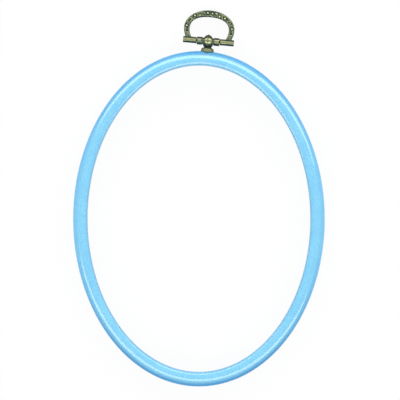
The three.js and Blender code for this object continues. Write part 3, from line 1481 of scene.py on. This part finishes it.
@dataclass
class HangerPost(Casting):
    """The cast post: a bun foot on the hoop, a neck, a ball with a pointed cap, and a cross barrel.

    Its lengths are in millimetres. Each point of an outline is a radius and a place along its axis.
    """

    name, node, body = "cast_post", "hanger_post", Body.OUTER
    voxel: float = 0.07
    sides: int = 120
    foot_radius: float = 3.0
    foot_depth: float = 1.6
    foot_middle: Point = (1.7, -4.45)
    foot_height: float = 1.42
    foot_turn: float = 85.0
    foot_under: float = 0.78
    under_turn: Point = (-88.0, 86.0)
    ball_radius: float = 2.45
    ball_middle: float = 0.08
    ball_from: float = -36.0
    ball_to: float = 42.0
    cap_tip: float = 2.74
    cap_end: float = 0.44
    cap_shoulder: float = 1.15
    cap_rise: Point = (-0.2, 0.4)
    nub_radius: float = 0.42
    nub_middle: float = 2.64
    nub_turn: Point = (12.0, 74.0)
    seam_at: float = -0.33
    seam_radius: float = 0.13
    seam_lift: float = 0.02
    seam_points: int = 96
    seam_sides: int = 12
    bowl: tuple[Point, ...] = ((2.2, -1.6), (2.14, -2.15), (1.86, -2.55), (1.62, -2.85), (1.62, -3.0))
    barrel_half: float = 5.15
    barrel_radius: float = 1.8
    barrel_drop: float = 0.07
    barrel_edge: float = 0.14
    barrel_neck: tuple[Point, ...] = ((1.55, 1.0), (1.55, 2.3))
    barrel_rise: tuple[Point, ...] = ((1.55, 2.38), (1.57, 2.65), (1.8, 2.55), (1.8, 2.9))
    hole_end: float = -1.3
    seat_gap: float = 0.04
    marks: tuple[Mark, ...] = marks_of(
        # The barrels' rubbed fronts, the right one brighter, which is partly a painted highlight.
        (2.4, 0.69, (-4.8, 0.0), (-2.0, 0.0)),
        (2.4, 0.84, (2.0, 0.0), (4.8, 0.0)),
        turned=True,
    ) + marks_of(
        (0.5, 0.26, *plumb(-2.85, 1.6)),
        (0.36, 0.26, *plumb(2.25, 1.6)),
        # The ball darkened all over, partly patina and partly painted shade round its rim.
        (2.6, 0.16, (0.0, 0.08)),
        (0.95, 0.24, *level(1.2, 2.2)),
        (0.45, 0.12, (0.0, 2.85)),
        # The ball's rubbed front, which also places its painted highlights.
        (1.28, 0.8, *level(0.55, 0.03)),
        # The top of the foot and the neck under the ball: painted shade.
        (0.5, 0.3, *level(2.4, -3.1)),
        (0.7, 0.02, *level(2.4, -2.25)),
        # The barrel's ends: painted shade in the gaps beside the knuckles.
        (0.28, 0.0, *plumb(-5.15, 1.4)),
        (0.28, 0.0, *plumb(5.15, 1.4)),
        (0.17, 0.45, *plumb(-0.33, 1.9)),
        # The bright band low on the foot: wear and a painted highlight.
        (0.9, 0.48, *level(2.4, -4.3)),
        (0.5, 0.6, *level(1.2, -4.75)),
    )

    def post_outline(self) -> list[Point]:
        """Draws the post's outline.

        Returns:
            Its points, from the foot's hidden end to the cap's tip.
        """
        middle, spread = self.foot_middle, self.foot_radius - self.foot_middle[0]
        turn = self.ball_to - self.ball_from
        sphere = arc((0.0, self.ball_middle), self.ball_radius, self.ball_from, turn, 24)
        (radius, at), (rise_in, rise_up) = sphere[-1], self.cap_rise
        rise, shoulder = (radius + rise_in, at + rise_up), (self.cap_shoulder, self.cap_tip)
        return [
            (middle[0], -(self.bench.hanger.stand_off + self.foot_depth)),
            *arc(middle, (spread, self.foot_under), *self.under_turn, 12),
            *arc(middle, (spread, self.foot_height), 0.0, self.foot_turn, 14),
            *rounded([*reversed(self.bowl), sphere[0]], 3)[:-1],
            *sphere,
            *bezier((radius, at), rise, shoulder, (self.cap_end, self.cap_tip), 14)[1:],
            *arc((0.0, self.nub_middle), self.nub_radius, *self.nub_turn, 10),
        ]

    def barrel_outline(self) -> list[Point]:
        """Draws the barrel's outline.

        Returns:
            Its points, from the left end to the right end.
        """
        edge = self.barrel_edge
        end = arc((self.barrel_radius - edge, self.barrel_half - edge), edge, 0.0, 90.0, 5)
        return both_ways([*self.barrel_neck, *bezier(*self.barrel_rise, 8), *end])

    def seam(self) -> Mesh:
        """Makes what cuts the parting line of the mould round the ball.

        Returns:
            The closed ring.
        """
        radius, middle = self.ball_radius + self.seam_lift, self.ball_middle
        turns = angles_round(self.seam_points)
        path = [(self.seam_at, middle + radius * math.cos(a), radius * math.sin(a)) for a in turns]
        curve = curve_of(Strand(path, self.seam_radius, closed=True))
        return outwards(self.bench.strands.run(curve, self.material(), {"Sides": self.seam_sides}))

    def build(self) -> Mesh:
        """Fuses the turned shapes, then cuts the seat, the bores and the ball's seam.

        Returns:
            The mesh in millimetres in the frame's axes.
        """
        hanger = self.bench.hanger
        drop = Matrix.Translation((0.0, -self.barrel_drop, 0.0))
        barrel = moved(lathe(self.barrel_outline(), Axis.X, self.sides), drop)
        post = lathe(self.post_outline(), Axis.Y, self.sides)
        mesh = cut(fused([post, barrel], self.voxel, self.smoothing), self.seam())
        self.weather(mesh, self.marks)
        seat = moved(OuterHoop(self.bench).ring(self.seat_gap), hanger.matrix().inverted())
        bore = rod(-self.barrel_half - 1, self.barrel_half + 1, hanger.pin_bore, Axis.X)
        hole = rod(hanger.wall_inside, self.hole_end, hanger.screw_hole, Axis.Y)
        return self.hung(cut(mesh, seat, bore, hole))


@dataclass
class Bail(Casting):
    """The swinging loop: two knuckle tubes, two arms and an arch with relief between raised rims.

    Its lengths are in millimetres in its own plane, which droops to the surface that the hoop lies on.
    """

    name, node, body = "cast_bail", "bail", Body.BAIL
    half_width: float = 11.5
    shoulder: float = 6.0
    top: float = 14.7
    opening_half_width: float = 8.95
    opening_shoulder: float = 5.5
    opening_top: float = 11.62
    opening_fullness: float = 2.4
    outer_at_bar: float = 9.6
    inner_at_bar: float = 6.8
    thickness: float = 2.2
    droop: float = math.asin(3.6 / 14.1)
    web_height: float = 0.58
    web_back: tuple[Point, ...] = ((0.5, 0.0), (0.15, 0.15), (0.0, 0.5))
    web_front: tuple[Point, ...] = ((0.0, 0.4), (0.1, 0.1), (0.3, 0.0))
    rim_radius: float = 0.3
    rim_inset: float = 0.5
    rim_height: float = 0.64
    rim_wear: float = 0.33
    knuckle_radius: float = 1.44
    knuckle_from: float = 5.28
    knuckle_to: Point = (11.45, 11.72)
    knuckle_end: tuple[Point, ...] = (
        (-0.14, 0.0), (-0.02, 0.06), (0.02, 0.16), (0.02, 0.4), (-0.05, 0.46), (-0.02, 0.6),
    )
    knuckle_sides: int = 96
    knuckle_wear: float = 0.72
    relief_sides: int = 14
    bead_sides: tuple[int, int] = (20, 14)
    arm_steps: int = 16
    arch_steps: int = 45
    plain_wear: float = 0.25
    relief_wear: float = 1.1
    marked_above: float = 0.2
    brown_shade_weight: float = 0.2
    turned_tilt: float = -droop
    stroke_height: float = 0.6
    pearl_height: float = 0.7
    pearl_radius: float = 0.46
    pearl_shown: float = 0.95
    pit: float = 0.98
    pit_depth: float = 0.14
    pit_wear: float = 0.09
    pearls: tuple[Point, ...] = (
        (-10.32, 6.4), (-7.02, 11.4), (-1.25, 13.15), (0.89, 13.05),
        (4.22, 11.88), (6.7, 11.22), (10.29, 6.38),
    )
    holes: tuple[Mark, ...] = marks_of(
        (0.36, 0.0, (-9.01, 9.35)),
        (0.36, 0.02, (8.65, 9.35)),
        sunk=0.25,
    ) + marks_of(
        (0.36, 0.06, (-2.6, 12.2)),
        (0.26, 0.05, (-2.85, 12.45), (-3.4, 12.6)),
        (0.34, 0.04, (-6.3, 10.75)),
        (0.3, 0.05, (1.85, 12.9)),
        (0.3, 0.05, (-10.75, 7.3)),
        (0.26, 0.08, (-9.9, 7.1)),
        sunk=0.1,
    )
    strokes: tuple[Mark, ...] = marks_of(
        (0.27, 0.62, (-9.5, 10.0), (-10.0, 9.3), (-10.25, 8.75), (-9.95, 8.2), (-9.85, 7.8), (-10.15, 7.3)),
        (0.27, 0.68, (-9.4, 10.1), (-8.95, 10.45), (-8.4, 10.15), (-8.22, 9.6), (-8.4, 8.95), (-8.95, 8.55)),
        (0.24, 0.36, (-8.05, 11.0), (-7.4, 10.0)),
        (0.24, 0.42, (-5.8, 12.1), (-5.95, 10.85)),
        (0.36, 0.76, (-4.95, 11.8), (-4.5, 11.98)),
        (0.2, 0.42, (-4.1, 13.0), (-3.75, 12.6), (-3.6, 12.0)),
        (0.38, 0.6, (-3.1, 13.05), (-2.8, 13.15)),
        (0.2, 0.42, (-3.3, 11.85), (-2.9, 11.75), (-2.2, 11.7), (-1.9, 12.1)),
        (0.36, 0.5, (-1.35, 11.55), (-0.85, 11.55)),
        (0.26, 0.72, (0.1, 12.25), (0.6, 11.85), (1.15, 11.45)),
        (0.34, 0.9, (2.6, 13.2), (2.95, 13.08)),
        (0.4, 0.44, (1.9, 11.78), (2.2, 11.7)),
        (0.17, 0.54, (3.05, 12.8), (3.2, 12.0), (3.38, 10.95)),
        (0.26, 0.66, (5.28, 12.2), (5.45, 11.3), (5.67, 10.5)),
        (0.34, 0.38, (7.4, 10.2), (7.65, 10.05)),
        (0.24, 0.58, *arc((8.65, 9.35), 0.72, 0.0, 360.0, 20)),
        (0.2, 0.54, (9.3, 7.7), (9.45, 8.15), (9.85, 8.45), (10.05, 7.95), (10.5, 8.1), (10.95, 7.65)),
        (0.3, 0.42, (9.95, 7.45), (10.1, 7.35)),
        (0.27, 0.58, (-10.72, 5.45), (-10.76, 4.4)),
        (0.25, 0.68, (10.62, 5.35), (10.72, 4.5)),
        raised=True,
    )
    rubbed: tuple[Mark, ...] = marks_of(
        (0.34, 0.6, (-6.3, 12.6), (-5.2, 13.1), (-3.9, 13.4)),
        (0.3, 0.52, (-8.7, 11.2), (-8.3, 11.5)),
        (0.26, 0.56, (-11.0, 8.3), (-11.06, 7.7)),
        (0.3, 0.5, (-7.6, 9.45), (-6.8, 10.15)),
        (0.3, 0.42, (-9.4, 6.0), (-9.4, 4.0)),
        (0.34, 0.6, (4.3, 13.1), (6.0, 12.65), (7.6, 11.85)),
        (0.3, 0.56, (8.3, 11.2), (9.3, 10.3)),
        (0.28, 0.54, (10.9, 8.0), (11.0, 7.4)),
        (0.26, 0.52, (6.0, 10.3), (6.9, 9.75), (7.6, 9.1)),
        (0.28, 0.44, (9.35, 6.3), (9.4, 3.6)),
        (0.24, 0.46, (11.1, 6.6), (11.05, 5.2)),
    )
    leaf: tuple[Mark, ...] = marks_of(
        (0.4, 0.58, (9.3, 3.05), (9.9, 3.3), (10.45, 3.2)),
        (0.33, 0.52, (9.35, 3.0), (8.8, 2.0), (8.15, 1.15)),
        (0.3, 0.36, (9.95, 2.7), (9.55, 1.9), (9.2, 1.15)),
        (0.24, 0.26, (10.4, 2.8), (10.15, 2.0), (9.95, 1.2)),
        raised=True,
    )

    def edge(
        self, at_bar: float, half_width: float, shoulder: float, top: float, fullness: float
    ) -> np.ndarray:
        """One edge of the loop, from the right arm's foot over the top to the left arm's foot.

        Args:
            at_bar: Half the distance between the arms at the bar.
            half_width: Half the width at the shoulder.
            shoulder: The shoulder's height.
            top: The top's height.
            fullness: The power of the arch's oval; 2 is an ellipse.

        Returns:
            Rows of X and Y in the bail's plane.
        """
        t = np.linspace(0, 1, self.arm_steps, endpoint=False)[:, None]
        controls = ((at_bar, 0), (half_width, shoulder / 2), (half_width, shoulder))
        foot, bend, end = (np.array(control) for control in controls)
        arm = (1 - t) ** 2 * foot + 2 * (1 - t) * t * bend + t * t * end
        angle = np.linspace(0, math.pi / 2, self.arch_steps + 1)
        across = half_width * np.cos(angle) ** (2 / fullness)
        up = shoulder + (top - shoulder) * np.sin(angle) ** (2 / fullness)
        half = np.vstack([arm, np.stack([across, up], axis=1)])
        half[-1, 0] = 0.0
        return np.vstack([half, half[-2::-1] * (-1, 1)])

    def edges(self) -> tuple[np.ndarray, np.ndarray, np.ndarray]:
        """Draws both edges of the loop.

        Returns:
            The inner edge, the outer edge and the direction from one to the other, by stations.
        """
        opening = (self.opening_half_width, self.opening_shoulder, self.opening_top, self.opening_fullness)
        inner = self.edge(self.inner_at_bar, *opening)
        outer = self.edge(self.outer_at_bar, self.half_width, self.shoulder, self.top, 2.0)
        return inner, outer, (outer - inner) / np.linalg.norm(outer - inner, axis=1)[:, None]

    def web(self) -> Mesh:
        """Makes the loop's body: a band with rounded edges whose front is sunk between the rims.

        Returns:
            The closed mesh, in the bail's plane.
        """
        inner, outer, across = self.edges()
        back, front = -self.thickness / 2, self.web_height
        side = [(inset, back + up) for inset, up in self.web_back]
        side += [(inset, front - down) for inset, down in self.web_front]
        section = [(inner + across * inset, up) for inset, up in side]
        section += [(outer - across * inset, up) for inset, up in reversed(side)]
        rows = np.stack([np.column_stack([line, np.full(len(line), up)]) for line, up in section], axis=1)
        stations, corners = rows.shape[:2]
        ends = tuple(reversed(range(corners))), tuple(range((stations - 1) * corners, stations * corners))
        return outwards(mesh_of(rows.reshape(-1, 3), [*grid_faces(stations, corners), *ends]))

    def rims(self) -> list[Strand]:
        """Draws the raised rims along both edges.

        Returns:
            The two strands.
        """
        inner, outer, across = self.edges()
        lines = (inner + across * self.rim_inset, outer - across * self.rim_inset)
        return [Strand([(x, y, self.rim_height) for x, y in line], self.rim_radius) for line in lines]

    def all_strokes(self) -> list[Mark]:
        """The raised strokes with the leaf at each arm's foot."""
        return [*self.strokes, *self.leaf, *(mark.mirrored() for mark in self.leaf)]

    def bars(self) -> tuple[Mark, ...]:
        """Marks the knuckle tubes: rubbed fronts, a painted highlight in two places and painted shade at
        their inner ends.

        Returns:
            The marks.
        """
        start, (left, right) = self.knuckle_from, self.knuckle_to
        return marks_of(
            (1.5, self.knuckle_wear, (-start, 0.0), (-left, 0.0)),
            (1.5, self.knuckle_wear, (start, 0.0), (right, 0.0)),
            # Painted highlights: two brighter places on the knuckles.
            (1.5, 0.88, (-11.3, 0.0), (-10.9, 0.0)),
            (1.5, 0.88, (5.9, 0.0), (6.6, 0.0)),
            # Painted shade at the inner ends, in the gaps beside the barrel.
            (0.3, 0.0, *plumb(-start, 1.3)),
            (0.3, 0.0, *plumb(start, 1.3)),
            turned=True,
        )

    def all_marks(self) -> list[Mark]:
        """Gathers what changes the wear, from the rims up to the pearls.

        Returns:
            The marks, later ones over earlier ones.
        """
        paths = [tuple((x, y) for x, y, _ in strand.path[::3]) for strand in self.rims()]
        rims = [Mark(path, self.rim_radius, self.rim_wear) for path in paths]
        pits = [Mark((at,), self.pit, self.pit_wear, sunk=self.pit_depth) for at in self.pearls]
        pearls = [Mark((at,), self.pearl_radius * self.pearl_shown, 1.0, raised=True) for at in self.pearls]
        return [*rims, *self.rubbed, *pits, *self.holes, *self.all_strokes(), *pearls, *self.bars()]

    def knuckle(self, side: int) -> Mesh:
        """The tube at one arm's foot, with a narrow band at each end.

        Args:
            side: -1 for the left arm and 1 for the right arm.

        Returns:
            The solid tube, before its bore is cut.
        """
        low, high = self.knuckle_from, self.knuckle_to[side > 0]
        rows = [(out, low + along) for out, along in self.knuckle_end]
        rows += [(out, high - along) for out, along in reversed(self.knuckle_end)]
        outline = [(self.knuckle_radius + out, side * along) for out, along in rows[::side]]
        return lathe(outline, Axis.X, self.knuckle_sides)

    def build(self) -> Mesh:
        """Fuses the loop, its relief and the knuckles, and cuts the pin's bore.

        Returns:
            The mesh in millimetres in the frame's axes.
        """
        bench, marks = self.bench, self.all_marks()
        relief = curve_of(*self.rims(), *(mark.strand(self.stroke_height) for mark in self.all_strokes()))
        raised = bench.strands.run(relief, self.material(), {"Sides": self.relief_sides})
        points = mesh_of([(x, y, self.pearl_height) for x, y in self.pearls], [])
        store(points, "size", np.full(len(self.pearls), self.pearl_radius))
        sides = dict(zip(("Segments", "Rings"), self.bead_sides))
        pearls = bench.beads.run(points, self.material(), sides)
        mesh = fused([self.web(), raised, self.knuckle(-1), self.knuckle(1)], self.voxel, 0)
        self.sink(mesh, marks)
        mesh = fused([mesh, pearls], self.voxel, self.smoothing)
        self.weather(mesh, marks)
        bore = rod(-self.knuckle_to[0] - 1, self.knuckle_to[1] + 1, bench.hanger.pin_bore, Axis.X)
        return moved(cut(mesh, bore), bench.hanger.matrix() @ Matrix.Rotation(-self.droop, 4, "X"))


@dataclass
class HingePin(Piece):
    """The pin that the bail swings on, with chamfered ends, in millimetres."""

    name, node, body, slot = "turned_pin", "hinge_pin", Body.BAIL, Slot.DRAWN_BRASS
    radius: float = 0.6
    half_length: float = 11.35
    chamfer: float = 0.12
    land: float = 0.4
    sides: int = 64

    def build(self) -> Mesh:
        """Turns the pin.

        Returns:
            The mesh in millimetres in the frame's axes.
        """
        radius, end, straight = self.radius, self.half_length, self.half_length - self.chamfer
        half = [(radius, straight - self.land), (radius, straight), (radius - self.chamfer, end)]
        return self.hung(lathe(both_ways(half), Axis.X, self.sides))


@dataclass
class PostScrew(Piece):
    """The screw that holds the post: a domed head with a slot and a threaded shank, in millimetres.

    Its places are along the post, and the thread's profile is drawn outwards and along.
    """

    name, node, body, slot = "slotted_screw", "post_screw", Body.OUTER, Slot.STEEL
    head_inside: float = -8.93
    head_outside: float = -7.93
    tip: float = -1.6
    head_radius: float = 1.6
    head_edge: float = 0.06
    neck_round: float = 0.08
    sides: int = 96
    dome_share: float = 0.45
    dome_height: float = 0.45
    dome_turn: float = 80.0
    shank_radius: float = 0.7
    chamfer: float = 0.25
    thread_profile: tuple[Point, ...] = ((-0.12, -0.2), (0.14, -0.03), (0.14, 0.03), (-0.12, 0.2))
    thread_margins: Point = (0.6, 0.4)
    pitch: float = 0.45
    steps: int = 28
    slot_width: float = 0.45
    slot_depth: float = 0.4

    def shape(self) -> Mesh:
        """Turns the screw and cuts its slot.

        Returns:
            The closed mesh, before its thread.
        """
        radius, shank, high, low = self.head_radius, self.shank_radius, self.head_outside, self.head_inside
        flat, dome = radius * (1 - self.dome_share), (radius * self.dome_share, self.dome_height)
        outline = [
            (flat, low),
            *arc((flat, low + self.dome_height), dome, -self.dome_turn, self.dome_turn, 8),
            (radius, high - self.head_edge),
            (radius - self.head_edge, high),
            (shank + self.neck_round, high),
            (shank, high + self.neck_round),
            (shank, self.tip - self.chamfer),
            (shank - self.chamfer, self.tip),
        ]
        half, reach = self.slot_width / 2, radius + 1
        sides = ((-reach, -half), (reach, -half), (reach, half), (-reach, half))
        corners = [(x, y, z) for y in (low - 1, low + self.slot_depth) for x, z in sides]
        slot = mesh_of(corners, [*grid_faces(2, 4), (3, 2, 1, 0), (4, 5, 6, 7)])
        return cut(lathe(outline, Axis.Y, self.sides), outwards(slot))

    def thread(self) -> Mesh:
        """Winds the ridge round the shank.

        Returns:
            The closed mesh.
        """
        after_head, before_tip = self.thread_margins
        start = self.head_outside + after_head
        length = self.tip - before_tip - start
        profile = curve_of(Strand([(out, along, 0.0) for out, along in self.thread_profile], closed=True))
        values = {"Turns": length / self.pitch, "Length": length, "Radius": self.shank_radius}
        ridge = self.bench.thread.run(profile, self.material(), {**values, "Steps": self.steps})
        upright = Matrix.Translation((0, start, 0)) @ Matrix.Rotation(math.radians(-90), 4, "X")
        return outwards(moved(ridge, upright))

    def build(self) -> Mesh:
        """Puts the turned screw and its thread together, in millimetres in the frame's axes."""
        return self.hung(joined([self.shape(), self.thread()]))


@dataclass
class PostWasher(Piece):
    """The washer under the screw's head, with rolled edges, in millimetres."""

    name, node, body, slot = "rolled_washer", "post_washer", Body.OUTER, Slot.STEEL
    inside: float = -7.63
    outside: float = -7.13
    radius: float = 1.9
    hole: float = 0.95
    edge: float = 0.1
    edge_steps: int = 3
    sides: int = 96

    def build(self) -> Mesh:
        """Turns the washer as a closed ring.

        Returns:
            The mesh in millimetres in the frame's axes.
        """
        low, high = (self.hole, self.inside), (self.radius, self.outside)
        section = rounded_box(low, high, self.edge, self.edge_steps)
        return self.hung(lathe(section, Axis.Y, self.sides, ring=True))


@dataclass(frozen=True)
class Lamp:
    """A soft rectangular lamp that faces the object, in metres.

    Attributes:
        name: Its name.
        at: Its place.
        width: Its size along X.
        height: Its size across X.
        radiance: How bright its face is; 1 is white.
        turn: How far it is turned round the object, in radians.
    """

    name: str
    at: Place
    width: float
    height: float
    radiance: float
    turn: float = math.radians(-6.0)

    def build(self) -> None:
        """Makes the lamp, turned towards the origin."""
        light = bpy.data.lights.new(self.name, "AREA")
        light.shape = "RECTANGLE"
        light.size, light.size_y = self.width, self.height
        light.energy = self.radiance * math.pi * self.width * self.height
        lamp = new_object(self.name, light)
        facing = Matrix.Rotation(-math.atan2(self.at[1], self.at[2]), 4, "X")
        lamp.matrix_world = Matrix.Rotation(self.turn, 4, "Z") @ Matrix.Translation(self.at) @ facing
        lamp.visible_camera = False


@dataclass
class Studio:
    """The pale floor, the plain soft lamps, the world and the camera straight above, in metres."""

    frame_side: float = 0.182
    frame_centre: Point = (0.000478, -0.000854)
    focus_height: float = 0.005
    camera_distance: float = 1.5
    clips: Point = (0.01, 20.0)
    sensor: float = 36.0
    world_grey: float = 0.305
    floor_radius: float = 4.0
    floor_sides: int = 96
    floor_height: float = -0.0001
    floor_colours: tuple[Colour, Colour] = ((0.93, 0.93, 0.93), (0.94, 0.94, 0.94))
    floor_glow: float = 0.94
    speckle: float = 4.0
    speckle_band: Point = (0.3, 0.7)
    lamps: tuple[Lamp, ...] = (
        Lamp("lamp_far", (0.0, 1.04, 0.60), 5.0, 0.78, 2.5),
        Lamp("lamp_near", (0.0, -0.818, 0.878), 5.0, 0.554, 2.48),
    )

    def floor_material(self) -> Material:
        """Makes a pale floor that the camera and reflections see nearly white, with a faint shadow.

        Returns:
            The material.
        """
        nodes = ShaderNodes("pale_floor")
        speckle = nodes.mix(nodes.band(nodes.noise(self.speckle), *self.speckle_band), *self.floor_colours)
        matt = nodes.output("ShaderNodeBsdfDiffuse", {"Color": speckle})
        glow = nodes.output("ShaderNodeEmission", {"Color": (1.0, 1.0, 1.0, 1.0), "Strength": 1.0})
        rays = nodes.node("ShaderNodeLightPath").outputs
        kinds = ("Camera", "Glossy", "Transmission")
        camera, glossy, through = (Value(nodes, rays[f"Is {kind} Ray"]) for kind in kinds)
        share = camera.either(glossy).either(through) * self.floor_glow
        lit = nodes.output("ShaderNodeMixShader", {0: share, 1: matt, 2: glow})
        behind = nodes.output("ShaderNodeNewGeometry", which="Backfacing")
        clear = nodes.output("ShaderNodeBsdfTransparent")
        surface = nodes.output("ShaderNodeMixShader", {0: behind, 1: lit, 2: clear})
        nodes.node("ShaderNodeOutputMaterial", {"Surface": surface})
        return nodes.material

    def floor(self) -> None:
        """Makes the round floor under the object."""
        radius, turns = self.floor_radius, angles_round(self.floor_sides)
        rim = [(radius * math.cos(a), radius * math.sin(a), self.floor_height) for a in turns]
        mesh = mesh_of(rim, [tuple(range(self.floor_sides))])
        mesh.materials.append(self.floor_material())
        new_object("floor", mesh)

    def world(self) -> None:
        """A plain grey world."""
        world = bpy.data.worlds.new("plain_grey")
        world.use_nodes = True
        world.node_tree.nodes["Background"].inputs["Color"].default_value = (*(self.world_grey,) * 3, 1.0)
        bpy.context.scene.world = world

    def camera(self) -> None:
        """A camera straight above whose frame matches the photograph's."""
        data = bpy.data.cameras.new("camera")
        data.sensor_width = self.sensor
        data.lens = self.sensor * self.camera_distance / self.frame_side
        data.clip_start, data.clip_end = self.clips
        camera = new_object("camera", data)
        camera.location = (*self.frame_centre, self.focus_height + self.camera_distance)
        bpy.context.scene.camera = camera

    def build(self) -> None:
        """Makes the whole studio."""
        self.camera()
        self.world()
        for lamp in self.lamps:
            lamp.build()
        self.floor()
        bpy.context.scene.view_settings.view_transform = "Standard"


def set_bench() -> Bench:
    """Reads where the opening and the bar are in the frame, and makes the trees and the materials.

    Returns:
        What the pieces are made with.
    """
    low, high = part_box("inner_hoop")
    middle = (low + high) / 2 / MM
    joint = next(joint for joint in frame["joints"] if joint["name"] == "bail_swing")
    across, up = joint["axis"][:2]
    hanger = HangerPlace(tuple(value / MM for value in joint["pos_m"]), math.atan2(up, across))
    strained = hanger.matrix() @ Vector(hanger.strained) * MM
    materials = {
        Slot.VINYL: Vinyl(tuple(strained)).material(),
        Slot.RIGID: RigidPlastic().material(),
        Slot.CAST_BRASS: CastBrass().material(),
        Slot.DRAWN_BRASS: DrawnBrass().material(),
        Slot.STEEL: PlatedSteel().material(),
    }
    oval = Oval((middle.x, middle.y), oval_sweep_tree())
    return Bench(oval, hanger, strand_tree(), bead_tree(), thread_tree(), materials)


def main() -> None:
    """Builds the studio and every piece, and reports each."""
    logging.basicConfig(level=logging.INFO, format="%(name)s %(message)s")
    Studio().build()
    bench = set_bench()
    for piece in (OuterHoop, InnerHoop, HangerPost, Bail, HingePin, PostScrew, PostWasher):
        piece(bench).place()


if __name__ == "__main__":
    main()
